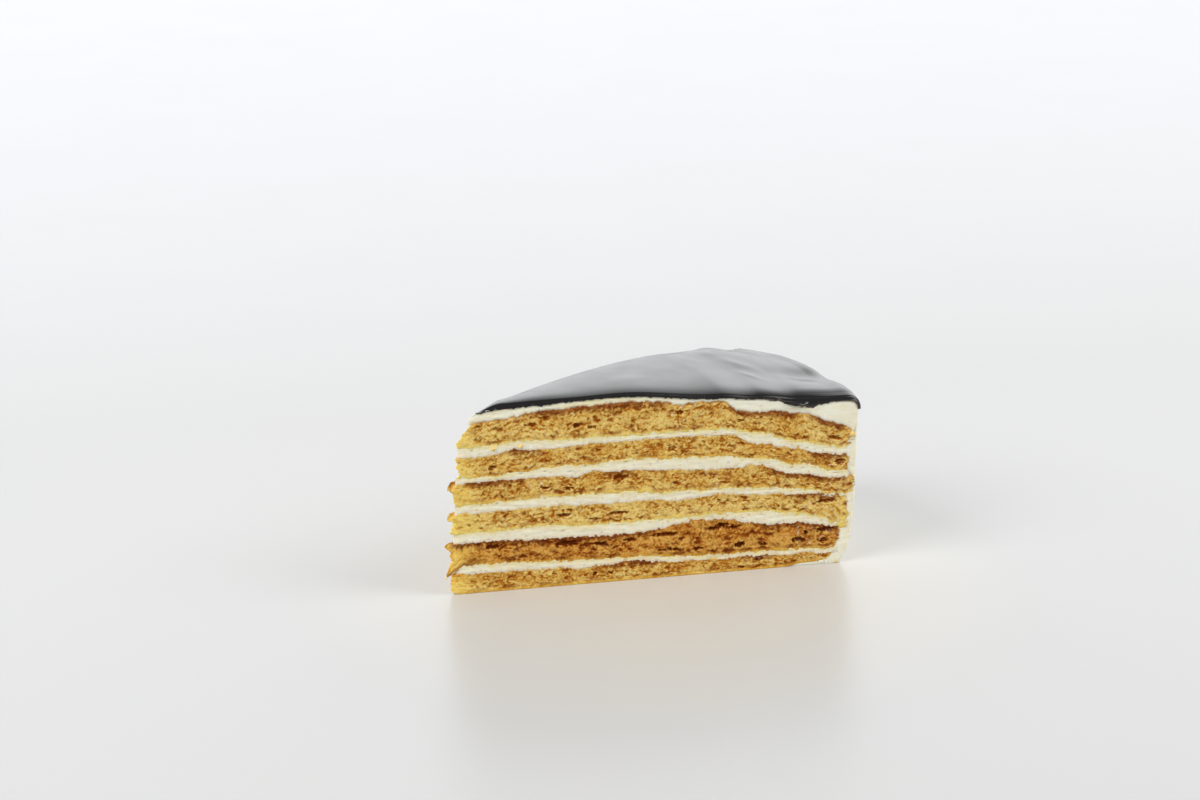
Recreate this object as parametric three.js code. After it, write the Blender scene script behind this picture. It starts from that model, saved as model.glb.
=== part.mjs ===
import * as THREE from 'three';

// One slice of a round layered cake, as it was cut. Six sponge sheets have cream between
// them, one coat of cream covers the top and the outer wall, and a poured glaze lies on it.
// Millimetres, +Z up. The shown cut runs along +X from the tip to the outer wall and faces
// -Y. The far cut is turned from it by the slice's angle.

// Plan of the slice
const SLICES_IN_CAKE = 12;
const SLICE_ANGLE = (2 * Math.PI) / SLICES_IN_CAKE;
const TIP_BLUNT = 3; // the two cuts would meet this far beyond the worn tip
const GAP = 0.3; // clear space between two layers
const WALL_GAP = 0.5; // clear space between the layers and the coat's wall

// Outer wall, measured from the tip: it leans out most near the foot
const FOOT_RADIUS = 116.8;
const WALL_LEAN = 4.9;
const WALL_LEAN_HEIGHT = 12;
const WALL_COAT = 1.6;
const FOOT_COAT_EXTRA = 1.8;
const FOOT_COAT_HEIGHT = 6;

// The coat turns in under the bottom sponge for a short way
const FOOT_TURN_IN = 11;
const FOOT_THICKNESS = 0.9;
const FOOT_RAMP = 6; // the bottom sponge lifts off the ground over this length

// The glaze hangs over the top edge of the wall
const GLAZE_HANG = 2.8;
const GLAZE_PROUD = 1.1;

// At the far cut the coat's top is one even dome, and the layers' swells have shifted
const FAR_CROWN = 55.7; // its greatest height
const FAR_CROWN_AT = 58; // where that is, from the tip
const FAR_DOME_RADIUS = 309;
const TIP_EASE = 24; // near the tip the two cuts keep about the same height
const LAYER_SHIFT = 8;

// The coat's top edge is rounded by this much, over this part of the wall's height
const COAT_EDGE_ROUND = 1.6;
const EDGE_ROUND_PART = 0.045;

// Cut faces: sponge swells out past the knife's plane, cream sinks in behind it
const SPONGE_SWELL = 0.25;
const CREAM_SINK = -0.3;

// Distances from the tip at which the thickness of each layer is given
const STATIONS = [0, 50, 80, 92, 104, 117];
const RIM = STATIONS.at(-1);

// Layers from the ground up. thick holds the thickness at each station, and tip how far
// behind the nominal tip the layer's lower and upper edges start.
const LAYERS = [
  { name: 'sponge_6', thick: [6.2, 5.7, 4.7, 4.6, 4.2, 3.8], tip: [-0.7, -1.0] },
  { name: 'cream_5', thick: [2.4, 1.4, 0.8, 0.8, 1.0, 1.0], tip: [2.4, 2.0] },
  { name: 'sponge_5', thick: [7.3, 7.6, 11.6, 9.4, 8.7, 7.2], tip: [-0.6, -1.6] },
  { name: 'cream_4', thick: [2.5, 3.2, 1.0, 3.3, 2.4, 1.0], tip: [0.4, 0.3] },
  { name: 'sponge_4', thick: [6.4, 6.6, 6.6, 5.6, 6.6, 8.2], tip: [-0.4, -1.1] },
  { name: 'cream_3', thick: [2.2, 2.8, 1.2, 1.6, 1.0, 0.8], tip: [1.0, 1.0] },
  { name: 'sponge_3', thick: [7.0, 6.8, 6.5, 6.9, 5.2, 5.0], tip: [0.4, -0.2] },
  { name: 'cream_2', thick: [1.2, 3.0, 3.6, 2.1, 2.6, 1.6], tip: [1.4, 1.6] },
  { name: 'sponge_2', thick: [6.5, 6.1, 7.0, 4.9, 5.3, 5.6], tip: [1.2, 0.8] },
  { name: 'cream_1', thick: [2.6, 1.3, 1.3, 2.9, 1.6, 1.8], tip: [2.3, 2.3] },
  { name: 'sponge_1', thick: [7.2, 10.1, 8.6, 6.4, 8.8, 7.4], tip: [1.0, 4.4] },
  { name: 'cream_coat', thick: [3.6, 1.9, 1.0, 4.3, 2.6, 7.0], tip: [4.7, 5.2] },
  { name: 'glaze', thick: [1.9, 1.9, 2.0, 1.7, 3.0, 2.0], tip: [7.6, 7.2] },
];
const COAT = LAYERS.findIndex((layer) => layer.name === 'cream_coat');
const GLAZE = LAYERS.findIndex((layer) => layer.name === 'glaze');

// Mesh density
const FIRST_RING = 8;
const LAST_RING = 112;
const RING_COUNT = 17;
const ACROSS = 6; // steps from the shown cut to the far cut
const WALL_STEPS = 6;

const MATERIALS = {
  sponge: new THREE.MeshStandardMaterial({ color: 0xc0934f, roughness: 0.9, metalness: 0 }),
  brown_sponge: new THREE.MeshStandardMaterial({ color: 0xa87138, roughness: 0.9, metalness: 0 }),
  cream: new THREE.MeshStandardMaterial({ color: 0xe6dcc4, roughness: 0.55, metalness: 0 }),
  glaze: new THREE.MeshStandardMaterial({ color: 0x14100e, roughness: 0.12, metalness: 0 }),
};

const rings = Array.from(
  { length: RING_COUNT },
  (_, i) => THREE.MathUtils.lerp(FIRST_RING, LAST_RING, i / (RING_COUNT - 1)),
);

const wallFractions = Array.from({ length: WALL_STEPS }, (_, k) => (k + 1) / WALL_STEPS);

// Thickness of one layer at a distance from the tip, eased from station to station
function thicknessAt(index, distance) {
  const { thick } = LAYERS[index];
  let value = thick[0];
  for (let k = 1; k < STATIONS.length; k += 1) {
    const ease = THREE.MathUtils.smoothstep(distance, STATIONS[k - 1], STATIONS[k]);
    value += (thick[k] - thick[k - 1]) * ease;
  }
  return value;
}

// Height of the layers up to one of them. Each is shifted along the slice by its own part
// of spread, so that its swells lie elsewhere.
function stackHeight(index, distance, spread) {
  let height = 0;
  for (let k = 0; k <= index; k += 1) {
    height += thicknessAt(k, distance + spread * Math.sin(1.7 * k + 0.6));
  }
  return height;
}

// Height of the coat's top, from its profile at the shown cut to the dome at the far cut
function coatTop(distance, across) {
  const near = stackHeight(COAT, distance, 0);
  const fromCrown = distance - FAR_CROWN_AT;
  const far = FAR_CROWN - fromCrown ** 2 / (2 * FAR_DOME_RADIUS);
  const share = across * THREE.MathUtils.smoothstep(distance, 0, TIP_EASE);
  return THREE.MathUtils.lerp(near, far, share);
}

// Height of the upper side of a layer
function topOf(index, distance, across) {
  if (index === GLAZE) return coatTop(distance, across) + thicknessAt(GLAZE, distance);
  const spread = LAYER_SHIFT * across;
  const part = stackHeight(index, distance, spread) / stackHeight(COAT, distance, spread);
  return part * coatTop(distance, across);
}

function wallRadius(z) {
  return FOOT_RADIUS + WALL_LEAN * (1 - Math.exp(-z / WALL_LEAN_HEIGHT));
}

function wallInside(z) {
  return wallRadius(z) - WALL_COAT - FOOT_COAT_EXTRA * Math.exp(-z / FOOT_COAT_HEIGHT);
}

// A point of the slice: distance from the tip, place across it from 0 to 1, and height
function place(distance, across, z) {
  const angle = across * SLICE_ANGLE;
  const reach = distance + TIP_BLUNT;
  return new THREE.Vector3(reach * Math.cos(angle) - TIP_BLUNT, reach * Math.sin(angle), z);
}

// Outward direction at the rim of a sheet. The end at the wall is held and doesn't swell.
function outward(i, j, last) {
  const direction = new THREE.Vector3();
  if (i === last) return direction;
  const angle = (j / ACROSS) * SLICE_ANGLE;
  if (j === 0) direction.y -= 1;
  if (j === ACROSS) direction.add(new THREE.Vector3(-Math.sin(angle), Math.cos(angle), 0));
  if (i === 0) direction.sub(new THREE.Vector3(Math.cos(angle), Math.sin(angle), 0));
  return direction.normalize();
}

// A closed sheet from a path of sections. Each section gives, for a place across the slice,
// the [distance, height] of its inner and its outer side. The sheet's edge has one row of
// points halfway through its thickness, moved out by swell.
function sheet(sections, swell) {
  const last = sections.length - 1;
  const columns = ACROSS + 1;
  const points = [];
  const outer = (i, j) => i * columns + j;
  const inner = (i, j) => (last + 1) * columns + i * columns + j;
  for (const side of ['outer', 'inner']) {
    for (const section of sections) {
      for (let j = 0; j < columns; j += 1) {
        const across = j / ACROSS;
        const [distance, z] = section(across)[side];
        points.push(place(distance, across, z));
      }
    }
  }

  const index = [];
  for (let i = 0; i < last; i += 1) {
    for (let j = 0; j < ACROSS; j += 1) {
      index.push(outer(i, j), outer(i + 1, j), outer(i + 1, j + 1));
      index.push(outer(i, j), outer(i + 1, j + 1), outer(i, j + 1));
      index.push(inner(i, j), inner(i + 1, j + 1), inner(i + 1, j));
      index.push(inner(i, j), inner(i, j + 1), inner(i + 1, j + 1));
    }
  }

  const edge = [];
  for (let i = 0; i < last; i += 1) edge.push([i, 0]);
  for (let j = 0; j < ACROSS; j += 1) edge.push([last, j]);
  for (let i = last; i > 0; i -= 1) edge.push([i, ACROSS]);
  for (let j = ACROSS; j > 0; j -= 1) edge.push([0, j]);
  const firstMiddle = points.length;
  for (const [i, j] of edge) {
    const middle = points[outer(i, j)].clone().lerp(points[inner(i, j)], 0.5);
    points.push(middle.addScaledVector(outward(i, j, last), swell));
  }
  edge.forEach(([i, j], k) => {
    const next = (k + 1) % edge.length;
    const [i2, j2] = edge[next];
    const here = firstMiddle + k;
    const there = firstMiddle + next;
    index.push(here, there, outer(i2, j2), here, outer(i2, j2), outer(i, j));
    index.push(inner(i, j), inner(i2, j2), there, inner(i, j), there, here);
  });

  const geometry = new THREE.BufferGeometry().setFromPoints(points);
  geometry.setIndex(index);
  geometry.computeVertexNormals();
  return geometry;
}

// The bottom sponge stands on the ground and lifts over the coat's turned-in foot
function undersideOf(index, distance, across) {
  if (index > 0) return topOf(index - 1, distance, across) + GAP / 2;
  const footStart = FOOT_RADIUS - FOOT_TURN_IN;
  const lift = THREE.MathUtils.smoothstep(distance, footStart - FOOT_RAMP, footStart);
  return lift * (FOOT_THICKNESS + GAP);
}

// Sponge sheets and the cream between them end just inside the coat's wall
function innerLayer(index) {
  const [lowerTip, upperTip] = LAYERS[index].tip;
  const at = (lower, upper) => (across) => ({
    inner: [lower, undersideOf(index, lower, across)],
    outer: [upper, topOf(index, upper, across) - GAP / 2],
  });
  const end = (across) => {
    const low = undersideOf(index, RIM, across);
    const high = topOf(index, RIM, across) - GAP / 2;
    return {
      inner: [wallInside(low) - WALL_GAP, low],
      outer: [wallInside(high) - WALL_GAP, high],
    };
  };
  const sections = [at(lowerTip, upperTip), ...rings.map((ring) => at(ring, ring)), end];
  const isSponge = LAYERS[index].name.startsWith('sponge');
  return sheet(sections, isSponge ? SPONGE_SWELL : CREAM_SINK);
}

// The coat runs over the top, down the wall and in under the bottom sponge
function coat() {
  const [lowerTip, upperTip] = LAYERS[COAT].tip;
  const under = (distance, across) => topOf(COAT - 1, distance, across) + GAP / 2;
  const over = (distance, across) => topOf(COAT, distance, across) - GAP / 2;
  const tipEdge = 0.8;
  const tip = (across) => ({
    inner: [lowerTip, under(lowerTip, across)],
    outer: [upperTip, under(upperTip, across) + tipEdge],
  });
  const top = rings.map((ring) => (across) => ({
    inner: [ring, under(ring, across)],
    outer: [ring, over(ring, across)],
  }));
  // From the top's rounded edge down to the ground. down goes from 0 to 1.
  const wall = [0, EDGE_ROUND_PART, ...wallFractions].map((down) => (across) => {
    const innerZ = THREE.MathUtils.lerp(under(RIM, across), FOOT_THICKNESS, down);
    const outerZ = THREE.MathUtils.lerp(over(RIM, across), 0, down);
    return {
      inner: [wallInside(innerZ), innerZ],
      outer: [wallRadius(outerZ) - (down === 0 ? COAT_EDGE_ROUND : 0), outerZ],
    };
  });
  const foot = () => ({
    inner: [FOOT_RADIUS - FOOT_TURN_IN, FOOT_THICKNESS],
    outer: [FOOT_RADIUS - FOOT_TURN_IN, 0],
  });
  return sheet([tip, ...top, ...wall, foot], CREAM_SINK);
}

// The glaze lies on the coat and rounds over the top edge of the wall
function glaze() {
  const [lowerTip, upperTip] = LAYERS[GLAZE].tip;
  const under = (distance, across) => topOf(COAT, distance, across) + GAP / 2;
  const over = (distance, across) => topOf(GLAZE, distance, across);
  const tipEdge = 0.5;
  const tip = (across) => ({
    inner: [lowerTip, under(lowerTip, across)],
    outer: [upperTip, under(lowerTip, across) + tipEdge],
  });
  const top = rings.slice(1).map((ring) => (across) => ({
    inner: [ring, under(ring, across)],
    outer: [ring, over(ring, across)],
  }));
  // From the flat top round to the hanging edge. round goes from 0 to 1.
  const hang = [0, 0.4, 0.75, 1].map((round) => (across) => {
    const turn = (round * Math.PI) / 2;
    const low = under(RIM, across);
    const high = over(RIM, across);
    const edge = wallRadius(low);
    const drop = (1 - Math.cos(turn)) * GLAZE_HANG;
    return {
      inner: [edge - 2 * (1 - Math.sin(turn)) + GAP, low - drop],
      outer: [
        edge + GLAZE_PROUD - (2 + GLAZE_PROUD) * (1 - Math.sin(turn)),
        THREE.MathUtils.lerp(high, low - GLAZE_HANG, 1 - Math.cos(turn)),
      ],
    };
  });
  return sheet([tip, ...top, ...hang], 0);
}

function materialOf(name) {
  if (name === 'glaze') return MATERIALS.glaze;
  if (name === 'sponge_5') return MATERIALS.brown_sponge;
  return name.startsWith('sponge') ? MATERIALS.sponge : MATERIALS.cream;
}

const cake = new THREE.Group();
LAYERS.forEach(({ name }, index) => {
  let geometry;
  if (index === GLAZE) geometry = glaze();
  else if (index === COAT) geometry = coat();
  else geometry = innerLayer(index);
  const mesh = new THREE.Mesh(geometry, materialOf(name));
  mesh.name = name;
  cake.add(mesh);
});

// The origin is under the middle of the slice's box, on the ground
const box = new THREE.Box3().setFromObject(cake);
const centre = box.getCenter(new THREE.Vector3());
cake.position.set(-centre.x, -centre.y, -box.min.z);

export default cake;
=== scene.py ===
import math

import bmesh
import bpy
import numpy as np
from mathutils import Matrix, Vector


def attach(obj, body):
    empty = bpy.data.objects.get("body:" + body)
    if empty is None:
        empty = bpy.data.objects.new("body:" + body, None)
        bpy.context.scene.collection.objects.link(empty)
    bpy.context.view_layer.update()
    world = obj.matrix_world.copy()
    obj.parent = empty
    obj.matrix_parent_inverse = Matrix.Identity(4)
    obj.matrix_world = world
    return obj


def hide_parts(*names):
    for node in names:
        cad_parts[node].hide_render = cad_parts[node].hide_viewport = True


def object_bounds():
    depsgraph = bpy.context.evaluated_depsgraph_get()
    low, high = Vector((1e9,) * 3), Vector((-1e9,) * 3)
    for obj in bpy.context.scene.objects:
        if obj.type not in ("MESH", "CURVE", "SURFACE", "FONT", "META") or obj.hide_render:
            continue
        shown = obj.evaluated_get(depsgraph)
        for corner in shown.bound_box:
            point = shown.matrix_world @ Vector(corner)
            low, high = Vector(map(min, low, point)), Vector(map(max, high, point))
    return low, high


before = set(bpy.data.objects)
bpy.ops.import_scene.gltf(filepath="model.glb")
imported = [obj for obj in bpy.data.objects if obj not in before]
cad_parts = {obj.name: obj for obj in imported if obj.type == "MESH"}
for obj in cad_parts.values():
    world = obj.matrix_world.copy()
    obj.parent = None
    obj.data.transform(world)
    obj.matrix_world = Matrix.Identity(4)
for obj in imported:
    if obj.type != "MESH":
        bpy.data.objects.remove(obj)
cad_low, cad_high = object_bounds()

# Lengths are in millimetres in the slice's own axes until a mesh is written: x runs from the
# tip along the shown cut, y into the slice and z up. MM turns them into metres.
MM = 0.001

# ---------------------------------------------------------------- plan of the slice
# A place in the slice is given by its distance from the tip, how far it lies across from the
# shown cut, 0, to the far one, 1, and its height.
SLICE_ANGLE = math.tau / 12
TIP_BLUNT = 3.0  # how far before the tip the two cuts would meet
FOOT_RADIUS = 116.8  # distance of the wall's foot
WALL_LEAN = 4.9  # how much farther out the wall ends at the top
WALL_LEAN_HEIGHT = 12.0  # height over which it gains most of that
WALL_SWELL = ((0, 0.6), (5, 1.3), (17, 1.1), (26, 0.7))  # how far it stands out past that
FOOT_TURN_IN = 11.0  # how far the coat turns in under the bottom sponge
FOOT_THICKNESS = 0.9  # of the coat there
FOOT_RAMP = 6.0  # length over which the bottom sponge rises onto it
FAR_CROWN = 55.7  # greatest height of the coat on the far cut
FAR_CROWN_AT = 58.0  # and its distance
FAR_DOME_RADIUS = 309.0  # of the far cut's top
TIP_EASE = 24.0  # distance from which the far cut has its own height
LAYER_SHIFT = 8.0  # how far the layers' waves move along between the cuts
CAD_SWELL = 0.25  # how far the CAD sponges stand out of the cut's plane
GLAZE_HANG = 2.8  # how far the glaze hangs over the wall
GLAZE_PROUD = 1.1  # how far the CAD glaze stands out of the wall

STATIONS = (0, 50, 80, 92, 104, 117)
RIM = float(STATIONS[-1])
THICKNESS = {  # of each layer at each station, from the ground up
    "sponge_6": (6.2, 5.7, 4.7, 4.6, 4.2, 3.8),
    "cream_5": (2.4, 1.4, 0.8, 0.8, 1.0, 1.0),
    "sponge_5": (7.3, 7.6, 11.6, 9.4, 8.7, 7.2),
    "cream_4": (2.5, 3.2, 1.0, 3.3, 2.4, 1.0),
    "sponge_4": (6.4, 6.6, 6.6, 5.6, 6.6, 8.2),
    "cream_3": (2.2, 2.8, 1.2, 1.6, 1.0, 0.8),
    "sponge_3": (7.0, 6.8, 6.5, 6.9, 5.2, 5.0),
    "cream_2": (1.2, 3.0, 3.6, 2.1, 2.6, 1.6),
    "sponge_2": (6.5, 6.1, 7.0, 4.9, 5.3, 5.6),
    "cream_1": (2.6, 1.3, 1.3, 2.9, 1.6, 1.8),
    "sponge_1": (7.2, 10.1, 8.6, 6.4, 8.8, 7.4),
    "cream_coat": (3.6, 1.9, 1.0, 4.3, 2.6, 7.0),
    "glaze": (1.9, 1.9, 2.0, 1.7, 3.0, 2.0),
}
ORDER = list(THICKNESS)
COAT = ORDER.index("cream_coat")

# Distances at which the creams, the coat and the glaze start on the shown cut
CREAM_TIPS = {"cream_5": 1.2, "cream_4": 0.4, "cream_3": 0.9, "cream_2": 1.2, "cream_1": 1.8}
COAT_TIP = 5.2
GLAZE_TIP = 7.2

# For each sponge sheet:
# tip: its worn end at the slice's tip, as (share of its thickness, distance)
# end: how far short of the wall's outside it stops, in the same way
# wet_end: how soaked its lower side is at that end
# tone: how light it is, pale and lip: how much lighter at the tip and at its lower edge, the
# tip's being a painted glow of light through it
# crust: how dark its baked skin is, slits: how many long holes it has
# flap: how brown its drooping lower edge at the tip is
# dark: stretches of the shown cut where the skin is thick. The last list: where cream dots it,
# some of the dots being painted glints
SPONGES = {
    "sponge_6": dict(
        tip=((0, 1.2), (0.12, -0.2), (0.6, -0.3), (1, 0.2)),
        end=((0, 8.1), (0.3, 4.8), (1, 4.2)),
        tone=0.38, lip=-0.35, crust=0.6, pale=0.15, slits=0.5,
        dark=((45, 62), (88, 96)),
        smears_and_glints=((82, 96), (106, 118)),
    ),
    "sponge_5": dict(
        tip=((0, -2.0), (0.2, -0.9), (0.4, 0.2), (0.7, -0.4), (0.92, -2.0), (1, -1.8)),
        end=((0, 4.2), (0.5, 3.6), (1, 4.2)),
        tone=0.48, lip=-0.7, crust=1.0, pale=0.1, slits=2.0, flap=0.8,
        dark=((0, 60), (92, 118)),
        smears_and_glints=((101, 119),),
    ),
    "sponge_4": dict(
        tip=((0, -0.2), (0.25, 0.0), (0.6, 0.8), (0.85, -0.7), (1, -1.4)),
        end=((0, 1.6), (0.5, 2.2), (1, 2.8)),
        wet_end=1.0,
        tone=0.6, lip=0.05, crust=0.4, pale=0.25, slits=0.7,
        dark=((100, 116),),
        smears_and_glints=((26, 34), (104, 120)),
    ),
    "sponge_3": dict(
        tip=((0, 0.9), (0.4, 0.6), (0.75, 0.7), (0.92, -0.6), (1, -1.2)),
        end=((0, 1.2), (0.5, 0.2), (1, 0.6)),
        tone=0.44, lip=-0.1, crust=0.85, pale=0.2, slits=1.0,
        dark=((4, 22), (46, 53), (96, 119)),
        smears_and_glints=((19, 31), (76, 84), (112, 121)),
    ),
    "sponge_2": dict(
        tip=((0, 1.8), (0.25, 2.4), (0.6, 1.4), (0.8, 2.0), (1, 1.0)),
        end=((0, 3.2), (0.5, 2.0), (1, 3.6)),
        tone=0.43, lip=-0.3, crust=0.6, pale=0.7, slits=0.5,
        dark=((16, 26), (108, 119)),
        smears_and_glints=((18, 38), (112, 120)),
    ),
    "sponge_1": dict(
        tip=((0, 2.4), (0.14, 1.5), (0.3, 2.0), (0.5, 3.0), (0.8, 4.6), (1, 6.4)),
        end=((0, 3.2), (0.3, 0.6), (0.7, 1.8), (1, 5.0)),
        tone=0.52, lip=0.15, crust=0.95, pale=0.8, slits=1.0,
        dark=((24, 62), (83, 103), (108, 120)),
        smears_and_glints=((16, 21), (64, 75), (116, 122)),
    ),
}

# Where the shown cut's boundary over a layer bulges: distance, half length, rise
BULGES = {
    "sponge_6": ((38, 5, -0.5), (54, 5, 0.7), (67, 5, -0.4)),
    "sponge_5": ((-1, 3.5, -0.6), (72, 4, 0.6), (96, 5, -0.6)),
    "cream_4": ((26, 9, 0.8),),
    "sponge_4": ((-1, 4, -1.4), (28, 16, 0.5), (68, 9, -0.8)),
    "cream_3": ((26, 14, 0.4), (62, 7, -0.8)),
    "sponge_3": ((-1, 4, -2.0), (36, 4, -0.6), (43, 4, 0.6), (90, 6, 0.6)),
    "cream_2": ((14, 4, -0.7), (42, 7, -0.6)),
    "sponge_2": ((-1, 4, -0.8), (19, 6, 1.1), (86, 4, 0.6), (109, 4, -0.8)),
    "cream_1": ((22, 8, 0.7),),
    "sponge_1": ((26, 9, 0.6), (68, 4, -1.2), (85, 4, -1.4), (98, 4, 0.7)),
    "cream_coat": ((98.5, 3.5, 0.7), (108, 5, -0.7)),
}

# Holes that stand out in the shown cut: distance, height, length, thickness, depth
CAVITIES = {
    "sponge_1": (
        (23.5, 50.0, 3.4, 1.0, 0.7), (27.5, 51.5, 3.2, 1.5, 0.6), (37.0, 48.7, 2.6, 1.2, 1.0),
        (41.5, 47.9, 2.6, 0.9, 0.9), (67.5, 50.4, 2.4, 1.2, 0.8), (86.0, 46.6, 2.4, 0.8, 0.7),
        (115.0, 39.2, 3.2, 1.1, 0.8),
    ),
    "sponge_2": (
        (12.0, 37.9, 2.4, 1.4, 0.8), (65.5, 39.6, 2.5, 1.9, 0.5), (117.0, 31.6, 3.0, 1.6, 0.8),
    ),
    "sponge_3": (
        (27.5, 30.6, 2.5, 0.9, 0.8), (34.5, 29.8, 3.2, 0.9, 0.8), (50.0, 32.0, 4.3, 1.6, 1.0),
    ),
    "sponge_4": (
        (33.0, 21.8, 4.2, 0.9, 0.9), (42.5, 19.9, 3.4, 0.6, 0.6), (50.0, 21.1, 4.6, 0.8, 0.9),
        (80.0, 22.4, 1.0, 0.9, 0.6), (88.0, 21.9, 1.0, 0.9, 0.6), (113.0, 19.7, 6.5, 1.0, 1.0),
    ),
    "sponge_5": (
        (12.0, 13.7, 4.0, 1.5, 0.9), (34.5, 12.9, 6.4, 1.6, 1.1), (44.0, 12.1, 3.9, 1.0, 0.9),
        (53.0, 12.5, 3.4, 1.1, 0.9), (63.5, 13.3, 8.5, 1.0, 0.9), (65.0, 8.5, 6.5, 0.8, 0.9),
        (73.5, 8.1, 2.6, 1.0, 1.0), (78.5, 13.9, 4.5, 1.1, 1.2), (81.0, 14.8, 3.8, 1.3, 1.4),
        (84.5, 13.9, 4.2, 1.0, 1.2), (86.5, 8.3, 3.2, 1.4, 1.5), (94.0, 7.7, 2.6, 0.9, 0.8),
        (104.5, 8.3, 4.2, 1.4, 1.1), (107.0, 10.4, 1.4, 1.1, 1.1), (112.5, 10.8, 5.0, 1.3, 1.1),
        (112.0, 7.4, 3.0, 1.1, 1.1),
    ),
    "sponge_6": (
        (42.5, 2.9, 1.4, 1.1, 0.9), (47.5, 2.9, 1.4, 0.8, 0.7), (87.0, 1.3, 2.6, 0.7, 0.6),
        (92.5, 3.3, 2.2, 1.2, 0.9),
    ),
}


def smoothstep(low, high, x):
    t = np.clip((x - low) / (high - low), 0, 1)
    return t * t * (3 - 2 * t)


def falling(low, high, x):
    """1 up to low, eased to 0 at high."""
    return 1 - smoothstep(low, high, x)


def lerp(a, b, t):
    return a + (b - a) * t


def profile(pairs, v):
    """Value at v of a line through (place, value) pairs."""
    places, values = zip(*pairs)
    return np.interp(v, places, values)


def thickness_of(index, distance):
    values = THICKNESS[ORDER[index]]
    total = np.full_like(distance, values[0], dtype=float)
    for k in range(1, len(STATIONS)):
        ease = smoothstep(STATIONS[k - 1], STATIONS[k], distance)
        total += (values[k] - values[k - 1]) * ease
    return total


def stack_height(index, distance, spread):
    """Height of the layers up to one of them, each shifted along by its part of spread."""
    total = np.zeros_like(distance, dtype=float)
    for k in range(index + 1):
        total += thickness_of(k, distance + spread * math.sin(1.7 * k + 0.6))
    return total


def coat_top(distance, across):
    near = stack_height(COAT, distance, 0.0)
    far = FAR_CROWN - (distance - FAR_CROWN_AT) ** 2 / (2 * FAR_DOME_RADIUS)
    return lerp(near, far, across * smoothstep(0, TIP_EASE, distance))


def top_of(index, distance, across):
    """Height of a layer's upper side. Below the lowest layer it is the ground."""
    distance, across = np.broadcast_arrays(np.asarray(distance, float), across)
    if index < 0:
        footing = FOOT_RADIUS - FOOT_TURN_IN
        return smoothstep(footing - FOOT_RAMP, footing, distance) * FOOT_THICKNESS
    if index > COAT:
        return coat_top(distance, across) + thickness_of(index, distance)
    spread = LAYER_SHIFT * across
    part = stack_height(index, distance, spread) / stack_height(COAT, distance, spread)
    return part * coat_top(distance, across)


def heights_of(name, distance, across):
    """Heights of a layer's lower and upper side."""
    index = ORDER.index(name)
    return top_of(index - 1, distance, across), top_of(index, distance, across)


def cad_wall_radius(z):
    return FOOT_RADIUS + WALL_LEAN * (1 - np.exp(-np.maximum(z, 0) / WALL_LEAN_HEIGHT))


def wall_radius(z):
    return cad_wall_radius(z) + profile(WALL_SWELL, z)


def place(distance, across, z):
    """Points from a distance from the tip, a place across the slice from 0 to 1, and z."""
    distance, across, z = np.broadcast_arrays(distance, across, z)
    angle = across * SLICE_ANGLE
    reach = distance + TIP_BLUNT
    return np.stack([reach * np.cos(angle) - TIP_BLUNT, reach * np.sin(angle), z], -1)


def out_of_cut(cut):
    """Unit vector pointing out of the near cut, 0, or the far one, 1."""
    if cut == 0:
        return np.array([0.0, -1.0, 0.0])
    return np.array([-math.sin(SLICE_ANGLE), math.cos(SLICE_ANGLE), 0.0])


# Where the slice's own axes lie in the frame: its cut's plane and the glaze's outer edge are
# on the CAD model's box.
glaze_reach = float(cad_wall_radius(coat_top(np.array(RIM), 0.0))) + GLAZE_PROUD
ORIGIN = np.array([cad_high.x / MM - glaze_reach, cad_low.y / MM + CAD_SWELL, cad_low.z / MM])


# ---------------------------------------------------------------- noise
class Noise:
    """Smooth seeded gradient noise, about -1 to 1, of up to three coordinates."""

    def __init__(self, seed):
        rng = np.random.default_rng(seed)
        self.order = np.concatenate([rng.permutation(256)] * 3)
        slopes = rng.normal(size=(256, 3))
        self.slopes = slopes / np.linalg.norm(slopes, axis=1, keepdims=True)

    def __call__(self, x, y=0.0, z=0.0):
        x, y, z = np.broadcast_arrays(*[np.asarray(c, float) for c in (x, y, z)])
        cell = [np.floor(c).astype(int) for c in (x, y, z)]
        local = [c - f for c, f in zip((x, y, z), cell)]
        fade = [t * t * t * (t * (t * 6 - 15) + 10) for t in local]
        wrapped = [c & 255 for c in cell]
        total = np.zeros(x.shape)
        for corner in range(8):
            step = [(corner >> axis) & 1 for axis in range(3)]
            key = self.order[wrapped[0] + step[0]]
            key = self.order[key + wrapped[1] + step[1]]
            key = self.order[key + wrapped[2] + step[2]]
            slope = self.slopes[key]
            weight = np.ones(x.shape)
            value = np.zeros(x.shape)
            for axis in range(3):
                weight = weight * (fade[axis] if step[axis] else 1 - fade[axis])
                value = value + slope[..., axis] * (local[axis] - step[axis])
            total += weight * value
        return total * 1.6

    def layered(self, x, y=0.0, z=0.0, octaves=3, gain=0.5):
        total, size, strength = 0.0, 1.0, 1.0
        for _ in range(octaves):
            total = total + strength * self(x * size, y * size, z * size)
            size, strength = size * 2.03, strength * gain
        return total


def sample(picture, column, row):
    """Values of a 2-D array between its cells."""
    column = np.clip(column, 0, picture.shape[1] - 1.001)
    row = np.clip(row, 0, picture.shape[0] - 1.001)
    c, r = column.astype(int), row.astype(int)
    u, v = column - c, row - r
    upper = picture[r, c] * (1 - u) + picture[r, c + 1] * u
    lower = picture[r + 1, c] * (1 - u) + picture[r + 1, c + 1] * u
    return upper * (1 - v) + lower * v


def within(stretches, distance, blur):
    """1 inside any of the stretches along a cut, 0 elsewhere."""
    total = np.zeros_like(distance)
    for start, stop in stretches:
        inside = smoothstep(start - blur, start + blur, distance)
        inside = inside * falling(stop - blur, stop + blur, distance)
        total = np.maximum(total, inside)
    return total


# ---------------------------------------------------------------- crumb of a cut sponge
CELL = 0.1  # step of the map of holes
MAP_LENGTH = 132.0
MAP_HEIGHT = 16.0
MAP_START = -5.0  # distance from the tip at which it starts

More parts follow.
